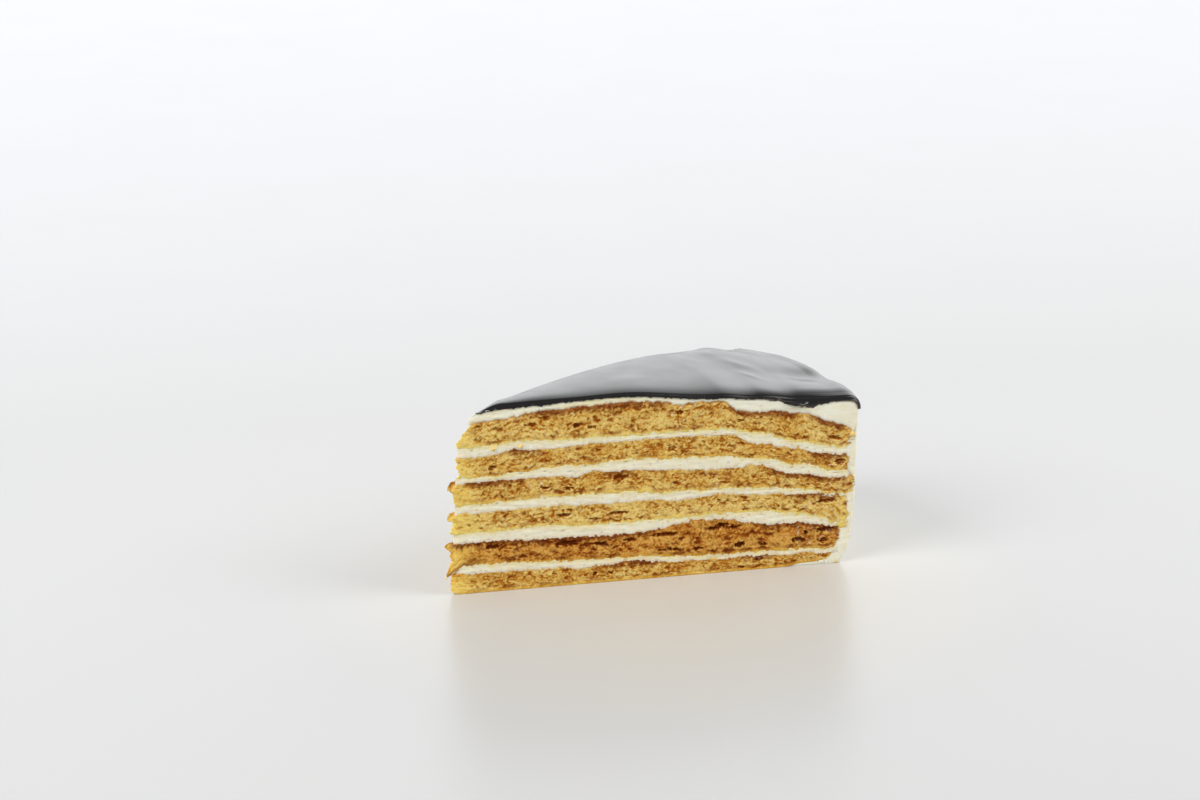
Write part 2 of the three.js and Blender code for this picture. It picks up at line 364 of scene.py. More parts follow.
# Kinds of holes: per square millimetre, range of lengths, thickness over length, depth
HOLES = (
    (0.02, (1.8, 3.8), 0.28, 0.8),
    (0.22, (0.8, 1.8), 0.5, 0.6),
    (2.6, (0.3, 0.7), 0.7, 0.34),
)


def hole_map(rng, slits):
    """Depth of the holes in a cut through one sponge sheet, on a grid of CELL steps."""
    columns, rows = int(MAP_LENGTH / CELL), int(MAP_HEIGHT / CELL)
    depths = np.zeros((rows, columns))
    for kind, (density, lengths, flatness, depth) in enumerate(HOLES):
        share = slits if kind == 0 else 1.0
        count = int(density * share * MAP_LENGTH * MAP_HEIGHT)
        centres = rng.random((count, 2)) * (columns, rows)
        size = lerp(lengths[0], lengths[1], rng.random(count) ** 1.5) / CELL / 2
        tall = size * flatness * rng.uniform(0.7, 1.4, count)
        tilt = rng.normal(0, 0.16 + 0.25 * kind, count)
        deep = depth * rng.uniform(0.5, 1.0, count)
        for (cx, cy), a, b, turn, d in zip(centres, size, tall, tilt, deep):
            reach = int(max(a, b)) + 2
            x0, x1 = max(int(cx) - reach, 0), min(int(cx) + reach + 1, columns)
            y0, y1 = max(int(cy) - reach, 0), min(int(cy) + reach + 1, rows)
            if x0 >= x1 or y0 >= y1:
                continue
            x, y = np.meshgrid(np.arange(x0, x1) - cx, np.arange(y0, y1) - cy)
            along = (x * math.cos(turn) + y * math.sin(turn)) / a
            over = (y * math.cos(turn) - x * math.sin(turn)) / max(b, 1.0)
            bowl = d * np.sqrt(np.clip(1 - along**2 - over**2, 0, 1))
            window = depths[y0:y1, x0:x1]
            np.maximum(window, bowl, out=window)
    return depths


# Channels: holes painted dark, partly syrup and partly painted shade; baked skin; soaking, whose
# yellow is partly a painted glow of light through thin parts; tone; cream smears, some of them
# painted glints.
SPONGE_CHANNELS = ("pore_shade", "crust", "soak_glow", "tone", "smear_and_glint")


def blurred(grid, reach):
    """Each point's mean with its neighbours up to reach steps away."""
    for axis in (0, 1):
        shifts = range(-reach, reach + 1)
        grid = sum(np.roll(grid, shift, axis) for shift in shifts) / len(shifts)
    return grid


class Crumb:
    """Relief and paint of one sponge sheet on one cut."""

    def __init__(self, name, cut):
        self.name = name
        self.look = SPONGES[name]
        seed = 101 * ORDER.index(name) + 17 * cut
        self.holes = hole_map(np.random.default_rng(seed), self.look["slits"])
        self.noise = Noise(seed + 1)
        self.cut = cut

    def along(self, distance):
        """The far cut has the shown one's features in mirrored order."""
        return distance if self.cut == 0 else RIM - distance

    def cavities(self, distance, z):
        """Depth of the holes that stand out."""
        depth = np.zeros_like(distance)
        n = self.noise
        x = self.along(distance) + 0.9 * n(distance / 1.1, z / 0.7, 5.0)
        y = z + 0.4 * n(distance / 0.9, z / 0.6, 9.0) + 0.2 * n(distance / 0.45, z / 0.4, 15.0)
        ragged_depth = np.clip(0.85 + 0.9 * n(distance / 1.1, z / 0.6, 19.0), 0.15, 1.15)
        for cx, cy, length, thick, deep in CAVITIES[self.name]:
            far = ((x - cx) / (0.55 * length)) ** 2 + ((y - cy) / (0.6 * thick)) ** 2
            depth = np.maximum(depth, deep * np.sqrt(np.clip(1.15 * (1 - far), 0, 1)))
        return depth * ragged_depth

    def skin(self, distance, above, below, fine):
        """How baked the crumb is: in a band of uneven depth at the top, a thin one near the
        bottom and a flap at the tip. And where the upper band is thick."""
        n = self.noise
        wander = self.along(distance) + 2.0 * n(distance / 5, 3.1)
        dark = within(self.look["dark"], wander, 2.5)
        wave = 0.7 * n(distance / 4.0, 11.0) + 0.6 * n(distance / 1.5, 13.0)
        band = (0.1 + 1.4 * dark) * (0.85 + 1.0 * wave)
        crust = falling(0.55 * band, 1.1 * band + 0.8, below + 0.95 * fine)
        broken = smoothstep(-0.6, 0.3, n(distance / 2.6, 17.0))
        crust = crust * lerp(0.7 * self.look["crust"] * broken, 1.0, dark)
        under = np.abs(above - 1.15 - 0.4 * wave) + 0.35 * fine
        thin = lerp(0.35, 0.8, self.look["crust"]) * falling(0.1, 0.75, under)
        thin = thin * smoothstep(-0.3, 0.3, n(distance / 5.0, 23.0))
        thin = thin * smoothstep(-1.0, 11.0, distance)
        flap = falling(0.5, 1.8, above + 0.5 * fine) * falling(4, 10, distance)
        crust = np.maximum(np.maximum(crust, thin), self.look.get("flap", 0.0) * flap)
        return crust, dark

    def smear_and_glint(self, distance, above):
        """Cream dragged over the crumb, in patches, some of them painted glints, and in white
        specks near the wall that are painted glints.
        """
        n, along = self.noise, self.along(distance)
        patches = smoothstep(0.35, 0.95, n.layered(distance / 1.7, above / 1.0, 31.0, octaves=2))
        specks = smoothstep(0.7, 0.9, n.layered(distance / 0.9, above / 0.7, 36.0, octaves=2))
        patches = 0.6 * patches * within(self.look["smears_and_glints"], along, 1.5)
        return np.maximum(patches, specks * smoothstep(106, 114, along))

    def __call__(self, distance, z, above, below):
        """Relief and paint at points of the cut. above: height over the sheet's lower side,
        below: depth under its upper side."""
        n = self.noise
        bend = 0.6 * n(distance / 1.9, above / 1.0) + 0.2 * n(distance / 0.6, above / 0.45)
        drift = 0.4 * n(distance / 1.5 + 40, above / 0.9)
        drift = drift + 0.12 * n(distance / 0.5 + 9, above / 0.35)
        column = (distance - MAP_START + bend) / CELL
        holes = sample(self.holes, column, (above + 2.0 + drift) / CELL)
        big = self.cavities(distance, z)

        # How open the crumb is changes slowly. The sheet's middle is the most open.
        edge = np.minimum(above, below)
        share = above / np.maximum(above + below, 0.1)
        open_crumb = n.layered(distance / 6.5, above / 2.6, 41.0, octaves=2)
        inner = smoothstep(0.1, 1.3, edge)
        tip = smoothstep(-1.0, 11.0, distance)
        keep = lerp(0.25, 1.0, inner) * lerp(0.4, 1.0, tip)
        holes = holes * keep * smoothstep(-0.75, 0.15, open_crumb)
        lumps = n.layered((distance + bend) / 1.7, (above + drift) / 0.85, 3.0, octaves=2)
        grit = n.layered(distance / 0.62, above / 0.45, 7.7, octaves=2)
        # The hollows are dented, and the tone below is painted darker in them: painted shade.
        shaded_hollow = smoothstep(0.0, 0.9, lumps + 0.4 * open_crumb) * lerp(0.4, 1.0, keep)
        dent = 0.12 * shaded_hollow * lerp(0.4, 1.0, tip)
        relief = 0.1 + 0.05 * grit * lerp(0.5, 1.0, keep) - dent - 0.6 * holes - big
        relief -= 0.12 * falling(0.0, 0.45, edge)
        relief -= 0.5 * falling(-1.0, 1.6, distance)

        fine = n.layered(distance / 1.1, above / 0.7, 3.3, octaves=3)
        crust, dark = self.skin(distance, above, below, fine)

        # The lower edge and the thin tip are soaked and let light through; their lighter,
        # yellower paint is partly a painted glow of that light.
        lip = falling(0.35, 1.35, above + 0.4 * fine)
        soaked_glowing_tip = falling(0.0, 10.0, distance + 3 * fine - 2 * lumps)
        wet_end = self.look.get("wet_end", 0.0) * smoothstep(RIM - 4, RIM + 1, distance)
        soak_glow = np.maximum(np.maximum(lip, soaked_glowing_tip), wet_end * (1 - share))

        # The holes are painted dark: partly syrup, partly painted shade in them.
        pore_shade = np.clip(np.maximum(blurred(holes, 1) / 0.44, big / 0.6), 0, 1)
        tone = self.look["tone"] + 0.22 + 0.3 * (0.5 - share) - 0.45 * shaded_hollow - 0.25 * lumps
        tone = tone + 0.22 * grit + 0.35 * n(distance / 8, above / 4, 51.0)
        tone = tone + 0.25 * n((distance + bend) / 4.5, (above + drift) / 0.8, 61.0)
        tone = tone + self.look["lip"] * lip * (1 - soaked_glowing_tip)
        tone = tone - 0.3 * crust * dark * smoothstep(-0.3, 0.4, n(distance / 2.4, 73.0))
        tone = tone + 0.65 * soaked_glowing_tip * n(distance / 3.5, above / 0.45, 67.0)
        # Painted shade where the relief lies below its blurred mean, in creases, and painted
        # light where it stands above it, on ridges.
        tone = tone - 1.6 * np.clip(blurred(relief, 2) - relief, -0.2, 0.2)
        # Painted shade in a halo round the holes, except at the soaked tip.
        tone = tone - 0.45 * blurred(pore_shade, 2) * (1 - soaked_glowing_tip)
        # The tip is painted paler: a painted glow of light through the thin tip.
        tone = np.clip(tone + self.look["pale"] * falling(0.0, 9.0, distance), 0, 1)
        return relief, np.stack([pore_shade, crust, soak_glow, tone, self.smear_and_glint(distance, above)], -1)


# Channels: yellow crumbs; how light the cream is; painted shade in pits and tears; yellow bleed
# under the sponge above; the crust's stain with painted shade over the sponge below.
CREAM_CHANNELS = ("dirt", "shade", "tear_shade", "bleed", "stain_and_shade")
SHADE, BLEED = CREAM_CHANNELS.index("shade"), CREAM_CHANNELS.index("bleed")
cream_noise = Noise(7)


def cream_cut_look(distance, z, cut, above, below, marks=1.0):
    """Relief and paint of the cream on a cut: knife drag, pits and small cracks, with painted
    shade in the pits and cracks and along its lower edge over the sponge under it. above and
    below are measured from the sponges under and over it."""
    n = cream_noise
    seed = 31.0 * cut
    drag = n.layered(distance / 9, z / 0.9, seed, octaves=2)
    spots = n(distance / 1.1, z / 0.8, seed + 5)
    pits = marks * np.clip(spots - 0.6, 0, 1)
    cracks = n(distance / 2.4, z / 0.4, seed + 9)
    tears = marks * np.clip(cracks - 0.48, 0, 1)
    grain = n.layered(distance / 0.8, z / 0.7, seed + 21, octaves=2)
    relief = 0.02 + 0.1 * drag + 0.08 * n(distance / 2.2, z / 1.4, seed + 2) + 0.05 * grain
    relief = relief - 0.5 * pits - 0.7 * tears
    dirt = marks * smoothstep(0.55, 0.8, n(distance / 1.3, z / 1.0, seed + 13))
    shade = np.clip(0.5 + 0.5 * n.layered(distance / 5, z / 1.5, seed + 17, octaves=2), 0, 1)
    # Pits and tears are painted darker: painted shade in them.
    tear_shade = np.clip(3.2 * tears + 1.6 * pits, 0, 1)
    patchy = smoothstep(-0.5, 0.5, n(distance / 4.5, seed + 25))
    bleed = falling(0.1, 1.1, below + 0.35 * grain) * lerp(0.4, 1.0, patchy)
    # Near the sponge under it: the crust's colour blurred into the cream, and painted shade where
    # they meet.
    stain_and_shade = falling(0.0, 0.7, above + 0.3 * grain) * lerp(1.0, 0.3, patchy)
    return relief, np.stack([dirt, shade, tear_shade, bleed, stain_and_shade], -1)


# ---------------------------------------------------------------- mesh of a sheet
def quads_of(index, flip):
    corners = [index[:-1, :-1], index[1:, :-1], index[1:, 1:], index[:-1, 1:]]
    if flip:
        corners = [corners[0], corners[3], corners[2], corners[1]]
    return np.stack(corners, -1).reshape(-1, 4)


def bake_corners(rows, columns, box, strips, flip):
    """Bake map places of the corners of a grid's faces. The grid fills box, cut along its
    rows into strips."""
    x0, y0, x1, y1 = box
    pad = 0.003
    face = np.arange(rows - 1)
    length = math.ceil((rows - 1) / strips)
    strip = face // length
    u0 = (face - strip * length) / length
    high = (y1 - y0) / strips
    v = np.linspace(0, 1, columns)
    corners = []
    for du, dv in ((0, 0), (1, 0), (1, 1), (0, 1)):
        u = lerp(x0 + pad, x1 - pad, u0 + du / length)
        base = y0 + strip * high + pad
        w = base[:, None] + v[dv : columns - 1 + dv][None, :] * (high - 2 * pad)
        corners.append(np.stack([np.broadcast_to(u[:, None], w.shape), w], -1))
    if flip:
        corners = [corners[0], corners[3], corners[2], corners[1]]
    return np.stack(corners, -2).reshape(-1, 4, 2)


# Room in the bake map for each side of a sheet: its box and number of strips
CUTS_FIRST = {
    "near": ((0.0, 0.0, 1.0, 0.4), 2),
    "far": ((0.0, 0.4, 1.0, 0.8), 2),
    "outer": ((0.0, 0.8, 0.4, 1.0), 1),
    "inner": ((0.4, 0.8, 0.8, 1.0), 1),
    "tip": ((0.8, 0.8, 0.9, 1.0), 1),
    "rim": ((0.9, 0.8, 1.0, 1.0), 1),
}
OUTSIDE_FIRST = {
    "outer": ((0.0, 0.0, 1.0, 0.66), 1),
    "near": ((0.0, 0.66, 1.0, 0.78), 1),
    "far": ((0.0, 0.78, 1.0, 0.9), 1),
    "inner": ((0.0, 0.9, 0.6, 1.0), 1),
    "tip": ((0.6, 0.9, 0.8, 1.0), 1),
    "rim": ((0.8, 0.9, 1.0, 1.0), 1),
}
FLIPPED = {"outer": False, "inner": True, "near": False, "far": True, "tip": True, "rim": False}


def sheet_piece(name, sides, bake_map, channels):
    """Joins the six sides of a sheet into one closed mesh. sides holds grids of points with
    their paint: outer and inner by (path, across), near and far by (path, rise), tip and rim
    by (across, rise), where rise goes from the inner to the outer side."""
    near, outer = sides["near"], sides["outer"]
    path, rise, across = near.shape[0], near.shape[1], outer.shape[1]
    ids, values, used = {}, [], 0
    for side in ("outer", "inner"):
        ids[side] = used + np.arange(path * across).reshape(path, across)
        values.append(sides[side].reshape(path * across, -1))
        used += path * across
    for side, column in (("near", 0), ("far", -1)):
        grid = np.empty((path, rise), int)
        grid[:, 0], grid[:, -1] = ids["inner"][:, column], ids["outer"][:, column]
        count = path * (rise - 2)
        grid[:, 1:-1] = used + np.arange(count).reshape(path, rise - 2)
        values.append(sides[side][:, 1:-1].reshape(count, -1))
        used += count
        ids[side] = grid
    for side, row in (("tip", 0), ("rim", -1)):
        grid = np.empty((across, rise), int)
        grid[:, 0], grid[:, -1] = ids["inner"][row], ids["outer"][row]
        grid[0], grid[-1] = ids["near"][row], ids["far"][row]
        count = (across - 2) * (rise - 2)
        grid[1:-1, 1:-1] = used + np.arange(count).reshape(across - 2, rise - 2)
        values.append(sides[side][1:-1, 1:-1].reshape(count, -1))
        used += count
        ids[side] = grid
    table = np.concatenate(values)
    for side, column in (("near", 0), ("far", -1)):
        table[ids["inner"][:, column]] = sides[side][:, 0]
        table[ids["outer"][:, column]] = sides[side][:, -1]
    faces, places = [], []
    for side, grid in ids.items():
        box, strips = bake_map[side]
        faces.append(quads_of(grid, FLIPPED[side]))
        places.append(bake_corners(*grid.shape, box, strips, FLIPPED[side]))
    return make_piece(name, table, np.concatenate(faces), channels, np.concatenate(places))


def make_piece(name, table, faces, channels, places=None):
    """A smooth mesh object from rows of a point and its channels. places: bake map corners."""
    mesh = bpy.data.meshes.new(name)
    mesh.vertices.add(len(table))
    mesh.vertices.foreach_set("co", ((table[:, :3] + ORIGIN) * MM).ravel())
    mesh.loops.add(faces.size)
    mesh.loops.foreach_set("vertex_index", faces.ravel())
    mesh.polygons.add(len(faces))
    mesh.polygons.foreach_set("loop_start", np.arange(0, faces.size, faces.shape[1]))
    mesh.update(calc_edges=True)
    if places is not None:
        mesh.uv_layers.new(name="OFBake").uv.foreach_set("vector", places.ravel())
    for k, channel in enumerate(channels):
        values = np.ascontiguousarray(table[:, 3 + k])
        mesh.attributes.new(channel, "FLOAT", "POINT").data.foreach_set("value", values)
    mesh.validate()
    mesh.shade_smooth()
    piece = bpy.data.objects.new(name, mesh)
    bpy.context.collection.objects.link(piece)
    return piece


HIDDEN_ACROSS = 6  # points from cut to cut
TIP_BOW = -0.4  # how far a layer's end bows outward between the cuts at the tip
RIM_BOW = 0.85  # and at the wall, where it is a share of what the round plan would give


def hidden_sides(near, far, index):
    """Outer, inner, tip and rim sides that join a layer's two cuts."""
    t = np.linspace(0, 1, HIDDEN_ACROSS)
    nominal = np.linspace(0, RIM, near.shape[0])[:, None]
    sides = {"near": near, "far": far}
    for side, row, level in (("inner", 0, index - 1), ("outer", -1, index)):
        grid = lerp(near[:, row][:, None], far[:, row][:, None], t[None, :, None])
        arc = place(nominal, t[None, :], top_of(level, nominal, t[None, :]))
        grid[..., :3] += arc - lerp(arc[:, :1], arc[:, -1:], t[None, :, None])
        sides[side] = grid
    outward = np.array([math.cos(SLICE_ANGLE / 2), math.sin(SLICE_ANGLE / 2), 0])
    arch = np.sin(math.pi * t)[:, None, None]
    rim_bow = RIM_BOW * (RIM + TIP_BLUNT) * (1 - math.cos(SLICE_ANGLE / 2))
    for side, row, bulge in (("tip", 0, TIP_BOW), ("rim", -1, rim_bow)):
        grid = lerp(near[row][None], far[row][None], t[:, None, None])
        grid[..., :3] += bulge * arch * outward
        sides[side] = grid
    return sides


def cut_rows(cut, distance, z, relief, paint):
    """Rows of a point that stands out of a cut by its relief, and its paint."""
    points = place(distance, float(cut), z) + relief[..., None] * out_of_cut(cut)
    return np.concatenate([points, paint], -1)


def layer(name, ending, slot, channels, cut_of):
    """Builds a sponge sheet or the cream on one. cut_of gives the rows of each of its cuts."""
    sides = hidden_sides(cut_of(name, 0), cut_of(name, 1), ORDER.index(name))
    dress(sheet_piece(name + ending, sides, CUTS_FIRST, channels), slot, name)


# ---------------------------------------------------------------- sponge sheets
SPONGE_STEP = 0.22  # length between points along a cut
SPONGE_RISE = 36  # points over a sheet's height
END_FADE = 7.0  # length over which a sheet's worn ends fade out along it

FLAP_DROP = 3.4  # how far the fifth sheet's lower edge hangs down at the tip
FLAP_ENDS = (-2.4, 3.6)  # distances between which it comes up to its place
# On the shown cut the fourth sheet's end hangs down, and it meets the third
FOURTH_DROP = 2.2
FOURTH_ENDS = (112.0, 118.5)
FOURTH_LIFT = 0.5
THIRD_DROP = 0.4
MEETING_ENDS = (106.0, 112.0)

# Where a layer starts on the far cut: FAR_TIP_SLOPE times its start on the shown one, with
# FAR_TIP_BEHIND times that more where it is behind the tip, and FAR_TIP_SHIFT farther back
FAR_TIP_SLOPE = 1.3
FAR_TIP_BEHIND = 0.8
FAR_TIP_SHIFT = 1.2
FAR_TIP_MOST = 10.0  # the farthest it may start
edge_noise = Noise(3)


def fade_from(distance, start, length):
    """1 at start, eased to 0 at length from it."""
    return falling(0, length, np.abs(distance - start))


def ragged(k, distance, across):
    """How far the boundary over layer k strays up or down along a cut."""
    shift = 13.0 * k + 70.0 * across
    stray = (
        0.28 * edge_noise(distance / 5.0, shift)
        + 0.42 * edge_noise(distance / 2.1, shift + 3)
        + 0.36 * edge_noise(distance / 0.9, shift + 6)
        + 0.16 * edge_noise(distance / 0.45, shift + 9)
    )
    for place_at, half_length, rise in BULGES.get(ORDER[k], ()):
        bell = np.exp(-(((distance - place_at) / (0.7 * half_length)) ** 2))
        stray = stray + rise * (1 - across) * bell
    return stray


def sponge_heights(name, distance, across):
    """Heights of a sheet's lower and upper side on a cut."""
    index = ORDER.index(name)
    low, high = heights_of(name, distance, across)
    high = high + ragged(index, distance, across) - 0.1
    if index > 0:
        low = low + ragged(index - 1, distance, across)
    shown = 1 - across
    if name == "sponge_5":
        low = low - FLAP_DROP * falling(*FLAP_ENDS, distance)
    if name == "sponge_4":
        low = low - FOURTH_DROP * shown * smoothstep(*FOURTH_ENDS, distance)
        high = high + FOURTH_LIFT * shown * smoothstep(*MEETING_ENDS, distance)
    if name == "sponge_3":
        low = low - THIRD_DROP * shown * smoothstep(*MEETING_ENDS, distance)
    return low, high


def tip_start(start, cut):
    """Where a layer starts on a cut: the blunt tip runs straight back from the shown one."""
    far = FAR_TIP_SLOPE * start + FAR_TIP_BEHIND * np.maximum(start, 0) + FAR_TIP_SHIFT
    return lerp(start, np.minimum(far, FAR_TIP_MOST), cut)


def sponge_cut(name, cut):
    """Points and paint of a sheet on one cut, by path and rise."""
    index, look, across = ORDER.index(name), SPONGES[name], float(cut)
    v = np.linspace(0, 1, SPONGE_RISE)[None, :]
    nominal = np.linspace(0, RIM, int(RIM / SPONGE_STEP))[:, None]
    wobble = 0.7 * edge_noise(v * 6, 5.0 * index + cut) + 0.55 * edge_noise(v * 14, 7.0 * index)
    tip_shift = profile(look["tip"], v) + wobble + 0.35 * edge_noise(v * 31, 2.0 * index + cut)
    tip_shift = tip_start(tip_shift, cut)
    level = lerp(*heights_of(name, RIM, across), v)
    depth = np.maximum(profile(look["end"], v) - 1.3 * wobble, 0.0)
    end_shift = wall_radius(level) - depth - RIM
    tip_fade = np.maximum(END_FADE, 1.8 * tip_shift)
    distance = nominal + tip_shift * fade_from(nominal, 0, tip_fade)
    distance = distance + end_shift * fade_from(nominal, RIM, END_FADE)
    low, high = sponge_heights(name, distance, across)
    z = lerp(low, high, v)
    relief, paint = crumb_of[name, cut](distance, z, z - low, high - z)
    return cut_rows(cut, distance, z, relief, paint)


def sponge(name):
    slot = "brown_sponge" if name == "sponge_5" else "sponge"
    layer(name, "_crumb", slot, SPONGE_CHANNELS, sponge_cut)


# ---------------------------------------------------------------- cream between the sheets
CREAM_STEP = 0.3
CREAM_RISE = 13
OVERLAP = 0.35  # how far the cream reaches behind the sponge above and below it
CREAM_END = 1.5  # how far short of the wall's outside the cream between the sheets stops
CREAM_ROUND = 1.5  # length over which it reaches its full thickness


def cream_cut(name, cut):
    """Points and paint of the cream on a sheet on one cut, by path and rise."""
    index, across = ORDER.index(name), float(cut)
    start = tip_start(CREAM_TIPS[name], cut)
    stop = float(wall_radius(top_of(index, RIM, across))) - CREAM_END
    v = np.linspace(0, 1, CREAM_RISE)[None, :]
    distance = np.linspace(start, stop, int(RIM / CREAM_STEP))[:, None] + 0 * v
    low, high = heights_of(name, distance, across)
    low = low + ragged(index - 1, distance, across) - 0.1
    high = high + ragged(index, distance, across)
    middle = (low + high) / 2
    past = np.clip((distance - start) / CREAM_ROUND, 0, 1)
    thin = lerp(0.8, 1.0, np.sqrt(np.clip(1 - (1 - past) ** 2, 0, 1)))
    bottom = lerp(middle, np.minimum(low, middle) - OVERLAP, thin)
    top = lerp(middle, np.maximum(high, middle) + OVERLAP, thin)
    z = lerp(bottom, top, v)
    relief, paint = cream_cut_look(distance, z, cut, z - low, high - z)
    relief = relief - 0.5 * smoothstep(stop - 1.5, stop, distance)
    relief = relief - 0.45 * falling(start, start + 2.0, distance)
    return cut_rows(cut, distance, z, relief, paint)


def cream(name):
    layer(name, "_spread", "cream", CREAM_CHANNELS, cream_cut)


# ---------------------------------------------------------------- cream coat
COAT_STEP = 0.45
COAT_RISE = 14
COAT_ACROSS = 60
FOOT_STEPS = 16  # points along its turned in foot
COAT_EDGE = 1.6  # radius of its upper outer edge
COAT_FINE = 1.6  # length of the finer steps where it starts
COAT_ROUND = 3.2  # length over which it reaches its full thickness
COAT_BACK = 16  # length over which its farther start on the far cut fades out
# How much yellower the coat is painted on the cuts, by distance
COAT_YELLOW = ((0, 0.15), (28, 0.15), (42, 0.5), (56, 0.3), (70, 0))

TIP_SINK = 0.5  # how far the coat's top sinks at the tip
TIP_SINK_ENDS = (6, 14)  # distances between which that fades out
TIP_SLOPES = ((0.55, (6.5, 18)), (0.4, (6, 10)))  # its slopes into the slice, and their ends
TIP_RIDGE = 2.5  # how far behind the shown cut they start


def sponge_end_depth(z, across):
    """How far the sponges stop short of the wall's outside at a height."""
    heights, depths = [0.0], [6.0]
    for name, look in SPONGES.items():
        low, high = map(float, heights_of(name, RIM, across))
        for part, depth in look["end"]:
            heights.append(lerp(low, high, 0.1 + 0.8 * part))
            depths.append(depth)
    return np.interp(z, heights, depths)


def tip_sag(distance, across):
    """How far the coat and the glaze on it sink near the tip, most at the far cut."""
    inward = (distance + TIP_BLUNT) * SLICE_ANGLE * across - TIP_RIDGE
    fall = (inward + np.hypot(inward, 1.0)) / 2
    slope = sum(amount * falling(*ends, distance) for amount, ends in TIP_SLOPES)
    return TIP_SINK * falling(*TIP_SINK_ENDS, distance) + slope * fall


def coat_sections(across, on_cut):
    """Inner and outer (distance, z) along the coat's path: over the top, down the wall and
    in under the foot, at places across the slice."""
    across = np.atleast_1d(across)[None, :]
    rim_height = float(coat_top(np.array(RIM), 0.0))
    top = np.linspace(COAT_TIP + COAT_FINE, RIM, int((RIM - COAT_TIP) / COAT_STEP))
    fine = COAT_TIP + COAT_FINE * np.linspace(0, 0.9, 9) ** 2
    top = np.concatenate([fine, top])[:, None]
    wall = np.linspace(0, 1, int(rim_height / COAT_STEP))[1:, None]
    foot = np.linspace(0, 1, FOOT_STEPS)[1:, None]
    past = top - COAT_TIP
    back = (tip_start(COAT_TIP, across) - COAT_TIP) * falling(0, COAT_BACK, past)
    taper = np.sqrt(1 - np.clip(1 - past / COAT_ROUND, 0, 1) ** 2)
    top = top + back
    under = top_of(COAT - 1, top, across) - OVERLAP - 0.1
    over = top_of(COAT, top, across) - tip_sag(top, across)
    fluff = cream_noise.layered(top / 1.8, across * 4.0, 91.0, octaves=2)
    over = over + 0.25 * fluff * falling(COAT_TIP + 3, COAT_TIP + 6, top)
    over = np.maximum(over, under + OVERLAP + 0.4)
    if on_cut:
        under = under + ragged(COAT - 1, top, across)
        over = over + ragged(COAT, top, across) * taper
    over = lerp(under + 0.5 + OVERLAP, over, taper)
    inner_z = lerp(under[-1:], FOOT_THICKNESS, wall)
    outer_z = lerp(over[-1:], 0.0, wall)
    depth = [sponge_end_depth(inner_z[:, j], float(a)) for j, a in enumerate(across[0])]
    wall_in = wall_radius(inner_z) - np.stack(depth, 1) - 0.5
    edge = COAT_EDGE * falling(0, 0.05, wall) ** 2
    wall_out = wall_radius(outer_z) - edge
    foot_end = FOOT_RADIUS - FOOT_TURN_IN - 0.6 * FOOT_RAMP
    foot_in = lerp(wall_in[-1:], foot_end, foot)
    foot_out = lerp(wall_out[-1:], foot_end, foot)
    foot_z = top_of(-1, foot_in, across) + 0.25
    inner = np.concatenate([top, wall_in, foot_in]), np.concatenate([under, inner_z, foot_z])
    outer = np.concatenate([top, wall_out, foot_out])
    return inner, (outer, np.concatenate([over, outer_z, 0 * foot_out]))


def broad_sides(inner, outer, across, paint):
    """Rows of the inner and outer side of a sheet, each given by its (distance, z)."""
    return {
        "outer": np.concatenate([place(outer[0], across, outer[1]), paint], -1),
        "inner": np.concatenate([place(inner[0], across, inner[1]), paint], -1),
    }


def add_ends(sides, rise):
    """Adds the straight tip and rim sides between a sheet's inner and outer one."""
    for side, row in (("tip", 0), ("rim", -1)):
        inner, outer = sides["inner"][row], sides["outer"][row]
        sides[side] = lerp(inner[:, None], outer[:, None], rise[0][None, :, None])


def on_wall(distance, z):
    """1 on the outer wall, 0 on the top and at the foot."""
    return smoothstep(RIM - 4, RIM + 2, distance) * smoothstep(0.0, 3.0, z)


def wall_marks(angle, z):
    """Relief of the spatula on the outer wall."""
    n = cream_noise
    arc = angle * FOOT_RADIUS
    strokes = n.layered(arc / 26, z / 7, 51.0, octaves=3)
    dents = n.layered(arc / 5, z / 3.5, 57.0, octaves=2)
    return 0.3 * strokes + 0.12 * dents


